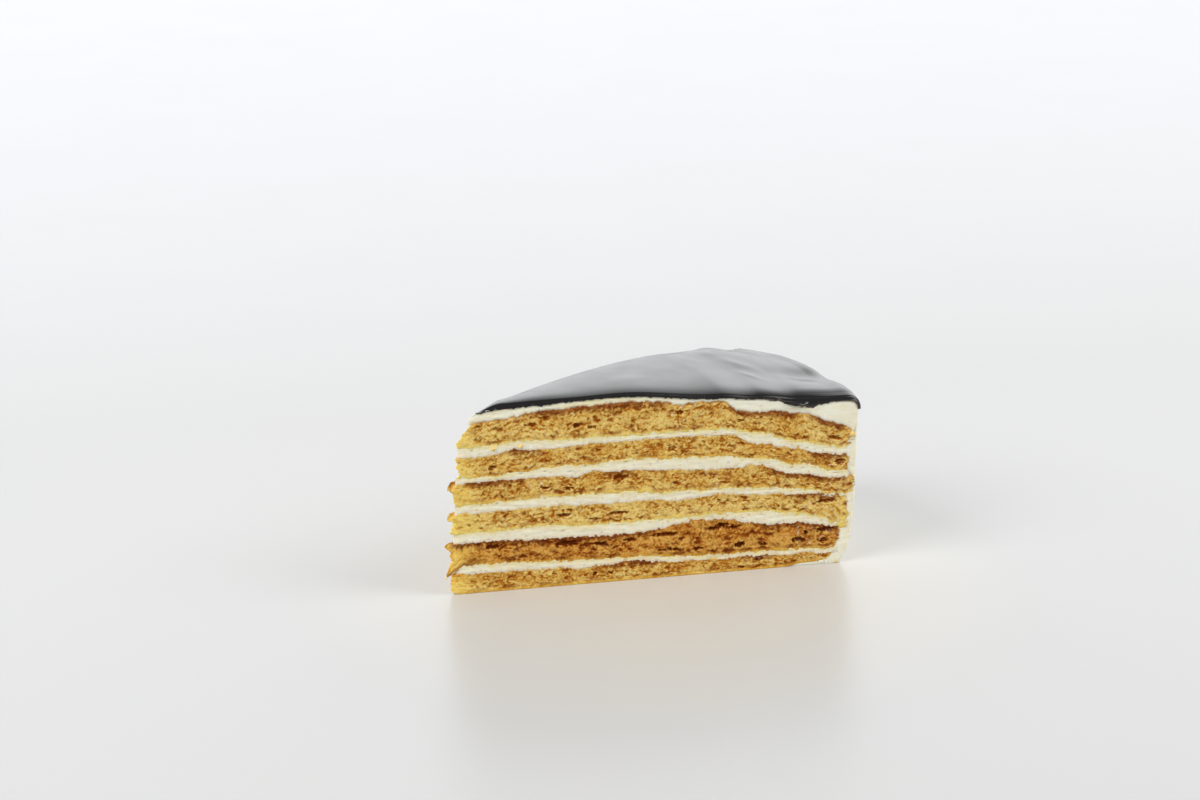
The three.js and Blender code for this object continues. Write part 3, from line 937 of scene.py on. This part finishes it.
def coat():
    across = np.linspace(0, 1, COAT_ACROSS)[None, :]
    inner, outer = coat_sections(across[0], False)
    angle = across * SLICE_ANGLE
    arc = angle * FOOT_RADIUS
    n = cream_noise
    wall = on_wall(*outer)
    outer_x = outer[0] + wall * wall_marks(angle, outer[1])
    dirt = np.clip(2.4 * (n(arc / 0.9, outer[1] / 0.9, 71.0) - 0.62), 0, 1) * wall
    shade = 0.85 - 0.05 * wall + 0.4 * n.layered(arc / 9, outer[1] / 5, 77.0, octaves=2)
    shade = np.clip(shade, 0, 1)
    none = np.zeros_like(shade)
    paint = np.stack([dirt, shade, none, none, none], -1)
    sides = broad_sides(inner, (outer_x, outer[1]), across, paint)
    rise = np.linspace(0, 1, COAT_RISE)[None, :]
    for side, cut in (("near", 0), ("far", 1)):
        (in_x, in_z), (out_x, out_z) = coat_sections(float(cut), True)
        out_x = out_x + on_wall(out_x, out_z) * wall_marks(cut * SLICE_ANGLE, out_z)
        distance, z = lerp(in_x, out_x, rise), lerp(in_z, out_z, rise)
        on_top = in_z >= in_z[in_x.argmax()]
        over_sponge = np.where(on_top, z - in_z - OVERLAP, 9.0)
        over_sponge = over_sponge + 3 * falling(0.5, 2.0, distance - COAT_TIP)
        clear = np.full_like(z, 9.0)
        relief, paint = cream_cut_look(distance, z, cut, over_sponge, clear, marks=0.3)
        width = np.hypot(out_x - in_x, out_z - in_z)
        relief = relief - 0.4 * falling(0, 0.8, (1 - rise) * width)
        relief = relief - 0.5 * falling(0, 1.2, rise * width)
        relief = relief * smoothstep(-0.2, 0.8, z + 0.2)
        bleed = np.maximum(paint[..., BLEED], profile(COAT_YELLOW, distance))
        # Painted lighter on the cuts, and darker again past the rim toward the wall's edge:
        # painted shade there.
        shade = paint[..., SHADE] + 0.3 - 0.3 * smoothstep(RIM, RIM + 4, distance)
        paint[..., BLEED], paint[..., SHADE] = bleed, np.clip(shade, 0, 1)
        sides[side] = cut_rows(cut, distance, z, relief, paint)
    add_ends(sides, rise)
    piece = sheet_piece("cream_coat_spread", sides, OUTSIDE_FIRST, CREAM_CHANNELS)
    dress(piece, "cream", "cream_coat")


# ---------------------------------------------------------------- glaze
GLAZE_ALONG = 300
GLAZE_ACROSS = 84
GLAZE_RISE = 10
GLAZE_TURN = 18  # points round its outer edge
GLAZE_ROUND = 0.9  # radius of its edges at the cuts
GLAZE_DRIP = (1.5, 103.2, 2.7)  # how far it bulges out of the cuts, where, half the length
GLAZE_TIP_BACK = 3.0  # how much farther from the tip it starts on the far cut
GLAZE_TIP_ROUND = 8.0  # length over which it reaches its full thickness
GLAZE_SUNK = 0.15  # how deep its underside lies in the coat
GLAZE_DROOP = 1.2  # how far it sinks at a cut
GLAZE_DOME = (1.4, 4.5)  # how far it rises away from the cuts, and over what length
GLAZE_DOME_END = 2.2  # that length at the shown cut near the wall
# Shares by which it rises more near the tip, and the distances between which they fade out
GLAZE_DOME_TIP = ((1.3, (8, 42)), (0.8, (10, 18)))
GLAZE_LIP = 0.9  # how far it stands out of the wall
GLAZE_SHOULDER = (0.75, 1.25)  # powers that make its curve over the wall fuller than round
GLAZE_SETTLE = 21  # length over which its dome fades toward the wall
# Rise of the glaze round the corner over the wall, by place across the slice
GLAZE_CORNER = (
    (0, -0.9), (0.05, 0.1), (0.1, 0.3), (0.2, 0.1), (0.27, -0.7),
    (0.36, -1.4), (0.5, 0.1), (0.7, 0.0), (1, -2.0),
)
glaze_noise = Noise(11)

# Soft folds: place along and off the shown cut from where the cuts would meet, direction,
# length, width, height
FOLDS = (
    (97, 17, -1.0, 4, 1.3, 0.2),
    (97, 28.4, -0.93, 8, 2.4, 0.28),
    (91, 40, -1.0, 6, 2.2, 0.12),
    (58, 12, 0.3, 9, 3.0, 0.12),
    (89, 51, 0.5, 4, 6.0, -0.6),
)


def spread_across(count):
    """Places across the slice, closer together near the two cuts."""
    t = np.linspace(-1, 1, count)
    return 0.5 + 0.5 * np.tanh(2.2 * t) / math.tanh(2.2)


def glaze_waves(distance, across):
    """Slow swells of the poured glaze and its soft folds."""
    n = glaze_noise
    x = (distance + TIP_BLUNT) * np.cos(across * SLICE_ANGLE)
    y = (distance + TIP_BLUNT) * np.sin(across * SLICE_ANGLE)
    height = 0.1 * n(x / 27, y / 19) + 0.012 * n(x / 8, y / 8, 4.0)
    for cx, cy, turn, length, width, rise in FOLDS:
        along = (x - cx) * math.cos(turn) + (y - cy) * math.sin(turn)
        off = (y - cy) * math.cos(turn) - (x - cx) * math.sin(turn)
        height = height + rise * np.exp(-((along / length) ** 2) - (off / width) ** 2)
    return height


def glaze_dome(distance, across):
    """Rise of the glaze between the two cuts."""
    rise, length = GLAZE_DOME
    near = lerp(length, GLAZE_DOME_END, smoothstep(80, 100, distance))
    rise = rise * sum((more * falling(*ends, distance) for more, ends in GLAZE_DOME_TIP), 1)
    width = (distance + TIP_BLUNT) * SLICE_ANGLE
    lowest = 1 + np.exp(-width / length)
    sides = np.exp(-across * width / near) + np.exp(-(1 - across) * width / length)
    return rise * (lowest - sides) - GLAZE_DROOP


def glaze_surfaces(across):
    """Inner and outer (distance, z) of the glaze along its path, by places across."""
    across = np.atleast_1d(across)[None, :]
    start = GLAZE_TIP + GLAZE_TIP_BACK * across
    top = lerp(start, RIM, np.linspace(0, 1, GLAZE_ALONG)[:, None])
    turn = np.linspace(0, 1, GLAZE_TURN)[1:, None] * math.pi / 2
    taper = np.sin(math.pi / 2 * np.clip((top - start) / GLAZE_TIP_ROUND, 0, 1))
    low = top_of(COAT, top, across) - tip_sag(top, across) - GLAZE_SUNK
    full = thickness_of(COAT + 1, top) + GLAZE_SUNK
    inward = (top + TIP_BLUNT) * SLICE_ANGLE * np.minimum(across, 1 - across)
    round_edge = GLAZE_ROUND * (1 + 0.8 * falling(8, 40, top))
    sharp = np.clip(1 - inward / round_edge, 0, 1)
    sharp = round_edge * (1 - np.sqrt(np.clip(1 - sharp**2, 0, 1)))
    away = smoothstep(0, 12, top - GLAZE_TIP)
    waves = glaze_waves(top, across) * away + glaze_dome(top, across)
    settle = smoothstep(RIM - GLAZE_SETTLE, RIM + 2, top)
    corner = sum(profile(GLAZE_CORNER, across + shift) for shift in (-0.04, -0.02, 0, 0.02, 0.04))
    corner = corner / 5 * smoothstep(96, 114, top)
    high = low + (full + waves * (1 - settle) + corner) * taper
    high = np.maximum(high - sharp, low + 0.2)
    hang = GLAZE_HANG + 0.9 * glaze_noise(across * 5.3, 9.0) + 0.4 * glaze_noise(across * 17, 2.0)
    edge = wall_radius(low[-1:])
    inner_x = edge - 2.0 * (1 - np.sin(turn)) - 0.1 + 0 * across
    inner_z = low[-1:] - (1 - np.cos(turn)) * hang
    out_power, down_power = GLAZE_SHOULDER
    outer_x = lerp(RIM, edge + GLAZE_LIP, np.sin(turn) ** out_power) - 0.4 * sharp[-1:]
    outer_z = lerp(high[-1:], low[-1:] - hang, (1 - np.cos(turn)) ** down_power)
    inner = np.concatenate([top, inner_x]), np.concatenate([low, inner_z])
    outer = np.concatenate([top, outer_x]), np.concatenate([high, outer_z])
    return inner, outer


def glaze():
    across = spread_across(GLAZE_ACROSS)[None, :]
    inner, outer = glaze_surfaces(across[0])
    sides = broad_sides(inner, outer, across, np.zeros_like(outer[0])[..., None])
    rise = np.linspace(0, 1, GLAZE_RISE)[None, :]
    for side, cut in (("near", 0), ("far", 1)):
        (in_x, in_z), (out_x, out_z) = glaze_surfaces(float(cut))
        on_top = smoothstep(0, 4, RIM - in_x)
        teeth = 1.4 * ragged(COAT, in_x, float(cut)) + 0.25 * glaze_noise(in_x / 0.6, 8.0)
        in_z = in_z + teeth * on_top
        distance, z = lerp(in_x, out_x, rise), lerp(in_z, out_z, rise)
        drip, drip_at, half_length = GLAZE_DRIP
        drip = drip * np.exp(-(((distance - drip_at) / half_length) ** 2))
        relief = (0.25 + drip) * np.sin(math.pi * rise)
        relief = relief + 0.08 * glaze_noise(distance / 4, z / 2, cut)
        thin = falling(0.05, 0.4, rise + 0.3 * glaze_noise(distance / 2, 5.0 + cut))
        sides[side] = cut_rows(cut, distance, z, relief, (thin + 0 * z)[..., None])
    add_ends(sides, rise)
    dress(sheet_piece("glaze_pour", sides, OUTSIDE_FIRST, ("thin",)), "glaze", "glaze")


# ---------------------------------------------------------------- loose crumbs
# Single crumbs that cling to the shown cut and the wall: distance, height, size
CRUMBS = (
    (-1.8, 5.4, 0.9),
    (12.5, 43.6, 1.3),
    (20.3, 43.9, 1.5),
    (4.8, 49.8, 0.6),
    (120.6, 39.9, 1.3),
    (120.5, 38.3, 0.7),
    (119.0, 11.6, 0.9),
    (116.4, 0.5, 0.9),
)
SMALL_CRUMBS = 46  # scattered over the creams of each cut
CRUMB_SIZES = (0.2, 0.5)


def lump(rng, size):
    """Points and faces of one irregular crumb round the origin."""
    ball = bmesh.new()
    bmesh.ops.create_icosphere(ball, subdivisions=2, radius=1.0)
    points = np.array([v.co for v in ball.verts])
    faces = np.array([[v.index for v in f.verts] for f in ball.faces])
    ball.free()
    n = Noise(int(rng.integers(1 << 30)))
    swell = 0.9 + 0.8 * n(*(1.2 * points).T) + 0.5 * n(*(2.9 * points).T)
    return points * swell[:, None] * rng.uniform(0.6, 1.2, 3) * size / 2, faces


def crumbs():
    rng = np.random.default_rng(29)
    spots = [(0, *spot) for spot in CRUMBS]
    for cut in (0, 1):
        for _ in range(SMALL_CRUMBS):
            name = rng.choice(list(CREAM_TIPS))
            distance = rng.uniform(4, 112)
            low, high = map(float, heights_of(name, distance, float(cut)))
            size = lerp(*CRUMB_SIZES, rng.random() ** 2)
            spots.append((cut, distance, lerp(low, high, rng.uniform(0.15, 0.85)), size))
    tables, faces, used = [], [], 0
    for cut, distance, z, size in spots:
        points, joined = lump(rng, size)
        points = points + place(distance, float(cut), z) + 0.1 * size * out_of_cut(cut)
        crust = rng.choice((0.0, 0.0, 0.3))
        paint = (0.0, crust, rng.uniform(0.3, 0.7), rng.uniform(0.6, 1.0), 0.25)
        tables.append(np.concatenate([points, np.tile(paint, (len(points), 1))], 1))
        faces.append(joined + used)
        used += len(points)
    table = np.concatenate(tables)
    piece = make_piece("loose_crumbs", table, np.concatenate(faces), SPONGE_CHANNELS)
    dress(piece, "sponge")


# ---------------------------------------------------------------- materials
def colour(red, green, blue):
    """A colour given in screen values from 0 to 255."""

    def channel(value):
        c = value / 255
        return c / 12.92 if c <= 0.04045 else ((c + 0.055) / 1.055) ** 2.4

    return (channel(red), channel(green), channel(blue), 1.0)


class Nodes:
    """Short ways to add nodes to a node tree."""

    def __init__(self, tree):
        self.tree = tree

    def add(self, kind, inputs=(), **attributes):
        node = self.tree.nodes.new(kind)
        for key, value in attributes.items():
            setattr(node, key, value)
        for socket, value in dict(inputs).items():
            self.join(node.inputs[socket], value)
        return node

    def join(self, socket, value):
        if isinstance(value, bpy.types.NodeSocket):
            self.tree.links.new(value, socket)
        else:
            socket.default_value = value

    def mix(self, factor, a, b):
        node = self.add("ShaderNodeMix", {0: factor, 6: a, 7: b}, data_type="RGBA")
        return node.outputs[2]

    def span(self, value, low, high, new_low=0.0, new_high=1.0):
        ends = {"From Min": low, "From Max": high, "To Min": new_low, "To Max": new_high}
        return self.add("ShaderNodeMapRange", {"Value": value, **ends}).outputs[0]

    def maths(self, operation, a, b=0.0):
        return self.add("ShaderNodeMath", {0: a, 1: b}, operation=operation).outputs[0]

    def times(self, a, b):
        return self.maths("MULTIPLY", a, b)


class Surface(Nodes):
    """A material with one Principled shader."""

    def __init__(self, name, **settings):
        self.material = bpy.data.materials.new(name)
        self.material.use_nodes = True
        super().__init__(self.material.node_tree)
        self.shader = self.tree.nodes["Principled BSDF"]
        for socket, value in settings.items():
            self.shader.inputs[socket.replace("_", " ")].default_value = value

    def set(self, socket, value):
        self.join(self.shader.inputs[socket], value)

    def channels(self, names):
        return [self.add("ShaderNodeAttribute", attribute_name=n).outputs["Fac"] for n in names]

    def where(self, stretch=(1, 1, 1)):
        """The object's own coordinates, in millimetres over stretch."""
        place_node = self.add("ShaderNodeTexCoord")
        size = [s / MM for s in stretch]
        inputs = {"Vector": place_node.outputs["Object"], "Scale": size}
        return self.add("ShaderNodeMapping", inputs).outputs["Vector"]

    def noise(self, scale, detail=2.0, stretch=(1, 1, 1)):
        inputs = {"Vector": self.where(stretch), "Scale": scale, "Detail": detail}
        return self.add("ShaderNodeTexNoise", inputs).outputs["Fac"]

    def cells(self, scale, stretch=(1, 1, 1)):
        """Distance to the nearest of scattered points."""
        inputs = {"Vector": self.where(stretch), "Scale": scale}
        return self.add("ShaderNodeTexVoronoi", inputs).outputs["Distance"]

    def bump(self, height, distance, strength=1.0):
        inputs = {"Height": height, "Distance": distance * MM, "Strength": strength}
        self.set("Normal", self.add("ShaderNodeBump", inputs).outputs["Normal"])


def sponge_material(name, light, middle, deep, shaded_hollow, skin_light, skin_dark):
    m = Surface(
        name,
        Subsurface_Radius=(1.0, 0.66, 0.36),
        Subsurface_Scale=0.6 * MM,
        Specular_IOR_Level=0.12,
        IOR=1.35,
    )
    pore_shade, crust, soak_glow, tone, smear_and_glint = m.channels(SPONGE_CHANNELS)
    grain = m.noise(1.7, 3.0, (1, 1, 1.4))
    fine = m.cells(1.7, (1, 1, 1.3))
    mottle = m.maths("ADD", tone, m.span(grain, 0.3, 0.7, -0.22, 0.22))
    lower = m.mix(m.span(mottle, 0.0, 0.55), deep, middle)
    crumb = m.mix(m.span(mottle, 0.45, 1.0), lower, light)
    pale = m.maths("ADD", m.times(tone, 0.7), m.span(grain, 0.35, 0.65, 0.0, 0.3))
    # The soaked yellow, lighter as the tone rises: partly a painted glow of light let through the
    # thin tip and lower edge.
    wet_glow = m.mix(pale, colour(232, 162, 26), colour(255, 233, 130))
    soaked = m.mix(m.times(soak_glow, 0.85), crumb, wet_glow)
    skin = m.mix(m.span(mottle, 0.15, 1.1), skin_dark, skin_light)
    baked = m.mix(m.times(crust, 0.9), soaked, skin)
    # Small pits and the holes take the hollow colour: painted shade in them.
    tiny = m.times(m.span(fine, 0.34, 0.14), m.span(soak_glow, 0.0, 0.8, 0.45, 0.05))
    holes = m.maths("MAXIMUM", m.times(pore_shade, 0.9), tiny)
    holed = m.mix(holes, baked, shaded_hollow)
    # Cream smears and painted glints in one whitish colour.
    m.set("Base Color", m.mix(m.times(smear_and_glint, 0.9), holed, colour(250, 234, 204)))
    m.set("Roughness", m.span(m.noise(0.9, 1.0), 0.35, 0.65, 0.5, 0.85))
    m.set("Subsurface Weight", m.span(soak_glow, 0.0, 1.0, 0.35, 0.6))
    m.bump(m.maths("SUBTRACT", m.noise(2.4, 3.0), m.times(tiny, 0.8)), 0.06)
    return m.material


def cream_material():
    m = Surface(
        "cream",
        Subsurface_Weight=0.4,
        Subsurface_Radius=(1.0, 0.75, 0.45),
        Subsurface_Scale=1.0 * MM,
        Roughness=0.5,
        IOR=1.45,
    )
    dirt, shade, tear_shade, bleed, stain_and_shade = m.channels(CREAM_CHANNELS)
    grain = m.noise(1.8, 3.0)
    tint = m.maths("ADD", m.times(shade, 0.7), m.span(grain, 0.3, 0.7, 0.0, 0.3))
    base = m.mix(tint, colour(243, 229, 196), colour(255, 252, 233))
    soft = m.mix(m.times(bleed, 0.6), base, colour(253, 224, 118))
    # The crust's stain and painted shade along the cream's lower edge.
    under = m.mix(m.times(stain_and_shade, 0.38), soft, colour(196, 148, 106))
    # Painted shade in pits and tears.
    deep = m.mix(m.times(tear_shade, 0.7), under, colour(166, 132, 84))
    m.set("Base Color", m.mix(m.times(dirt, 0.75), deep, colour(226, 186, 104)))
    m.bump(grain, 0.1, 0.7)
    return m.material


def glaze_material():
    m = Surface("glaze", IOR=1.5)
    thin = m.channels(("thin",))[0]
    m.set("Base Color", m.mix(thin, colour(15, 12, 11), colour(78, 44, 28)))
    m.set("Roughness", m.span(m.noise(0.12, 2.0), 0.35, 0.65, 0.16, 0.24))
    m.bump(m.noise(0.5, 2.0), 0.02, 0.5)
    return m.material


def floor_material():
    """A pale board that grades into a lighter backdrop, with a painted pool of warm bounced light
    round the slice.
    """
    m = Surface("floor", Roughness=0.3, IOR=1.28)
    here = m.add("ShaderNodeTexCoord").outputs["Object"]
    axes = m.add("ShaderNodeSeparateXYZ", {0: here})
    front, back = m.span(axes.outputs["Y"], -0.3, 0.05), m.span(axes.outputs["Y"], 0.15, 0.9)
    near = m.mix(front, colour(185, 185, 184), colour(191, 191, 190))
    far = m.mix(back, near, colour(232, 234, 239))
    # Painted bounced light: the board is painted lighter and warmer close round the slice.
    middle = {0: here, 1: (0.0, -0.04, 0.0)}
    away = m.add("ShaderNodeVectorMath", middle, operation="DISTANCE").outputs["Value"]
    lit = m.mix(m.span(away, 0.11, 0.03), far, colour(202, 198, 190))
    cloud = m.span(m.noise(0.02), 0.3, 0.7, 0.0, 0.06)
    m.set("Base Color", m.mix(cloud, lit, colour(190, 186, 180)))
    return m.material


MATERIALS = {
    "sponge": sponge_material(
        "sponge",
        light=colour(246, 219, 136),
        middle=colour(221, 173, 78),
        deep=colour(176, 98, 16),
        shaded_hollow=colour(140, 64, 4),
        skin_light=colour(180, 106, 42),
        skin_dark=colour(104, 48, 18),
    ),
    "brown_sponge": sponge_material(
        "brown_sponge",
        light=colour(234, 186, 98),
        middle=colour(206, 140, 52),
        deep=colour(160, 80, 14),
        shaded_hollow=colour(112, 44, 4),
        skin_light=colour(170, 98, 38),
        skin_dark=colour(98, 44, 16),
    ),
    "cream": cream_material(),
    "glaze": glaze_material(),
}


def dress(piece, slot, node=None):
    """Gives a piece its material, hangs it on the root body and hides the CAD node it stands for,
    if any.
    """
    piece.data.materials.append(MATERIALS[slot])
    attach(piece, "root")
    if node:
        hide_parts(node)


# ---------------------------------------------------------------- studio
CAMERA_FROM_TIP = (-201.3, -987.4, 367.0)  # in the slice's own axes
CAMERA_AZIMUTH = -13.95  # degrees
CAMERA_ELEVATION = 17.0
CAMERA_LENS = 110.6
FRONT_LIGHT = 0.42  # strength of the surroundings in front
WALL_LIGHT = 2.33  # and of the bright wall behind
LEFT_LAMP = 16.5  # watts
RIGHT_LAMP = 12.0
FLOOR_RADIUS = 2.5  # metres


def camera():
    data = bpy.data.cameras.new("camera")
    data.lens = CAMERA_LENS
    data.sensor_width = 36
    cam = bpy.data.objects.new("camera", data)
    cam.location = Vector((np.array(CAMERA_FROM_TIP) + ORIGIN) * MM)
    cam.rotation_euler = (math.radians(90 - CAMERA_ELEVATION), 0, math.radians(CAMERA_AZIMUTH))
    bpy.context.collection.objects.link(cam)
    bpy.context.scene.camera = cam


def floor():
    rings, steps = 24, 96
    radius = np.linspace(0, 1, rings + 1)[1:] ** 2 * FLOOR_RADIUS / MM
    angle = np.linspace(0, math.tau, steps, endpoint=False)
    x, y = radius[:, None] * np.cos(angle), radius[:, None] * np.sin(angle)
    points = np.stack([x, y, 0 * x], -1).reshape(-1, 3)
    faces = [tuple(range(steps))]
    for ring in range(rings - 1):
        for k in range(steps):
            a, b = ring * steps + k, ring * steps + (k + 1) % steps
            faces.append((a, a + steps, b + steps, b))
    mesh = bpy.data.meshes.new("floor")
    mesh.from_pydata((points * MM).tolist(), [], faces)
    mesh.materials.append(floor_material())
    ground = bpy.data.objects.new("floor", mesh)
    ground.location.z = cad_low.z
    bpy.context.collection.objects.link(ground)


def light(name, place_at, size, power):
    data = bpy.data.lights.new(name, "AREA")
    data.size = size
    data.energy = power
    lamp = bpy.data.objects.new(name, data)
    lamp.location = place_at
    lamp.rotation_euler = (-Vector(place_at)).to_track_quat("-Z", "Y").to_euler()
    bpy.context.collection.objects.link(lamp)


def surroundings():
    """A bright wall low behind the slice that dims upward, and even light elsewhere."""
    world = bpy.data.worlds.new("world")
    world.use_nodes = True
    bpy.context.scene.world = world
    w = Nodes(world.node_tree)
    direction = w.add("ShaderNodeTexCoord").outputs["Generated"]
    axes = w.add("ShaderNodeSeparateXYZ", {0: direction})
    behind = w.span(axes.outputs["Y"], -0.2, 0.5)
    upper = w.span(axes.outputs["Z"], 0.78, 0.40, 0.25, WALL_LIGHT)
    lower = w.span(axes.outputs["Z"], 0.0, 0.33, 0.6, 1.0)
    side = w.span(axes.outputs["X"], -0.8, -0.2, 0.4, 1.0)
    wall = w.times(w.times(upper, lower), side)
    level = w.add("ShaderNodeMix", {0: behind, 2: FRONT_LIGHT, 3: wall}, data_type="FLOAT")
    background = world.node_tree.nodes["Background"]
    background.inputs["Color"].default_value = (0.975, 0.988, 1.0, 1)
    w.join(background.inputs["Strength"], level.outputs[0])


def studio():
    bpy.context.scene.view_settings.view_transform = "Standard"
    surroundings()
    light("left", (-1.1, -0.45, 1.0), 0.9, LEFT_LAMP)
    light("right", (1.1, -0.45, 1.0), 0.9, RIGHT_LAMP)


# ---------------------------------------------------------------- build
crumb_of = {(name, cut): Crumb(name, cut) for name in SPONGES for cut in (0, 1)}
for sponge_name in SPONGES:
    sponge(sponge_name)
for cream_name in CREAM_TIPS:
    cream(cream_name)
coat()
glaze()
crumbs()
camera()
floor()
studio()
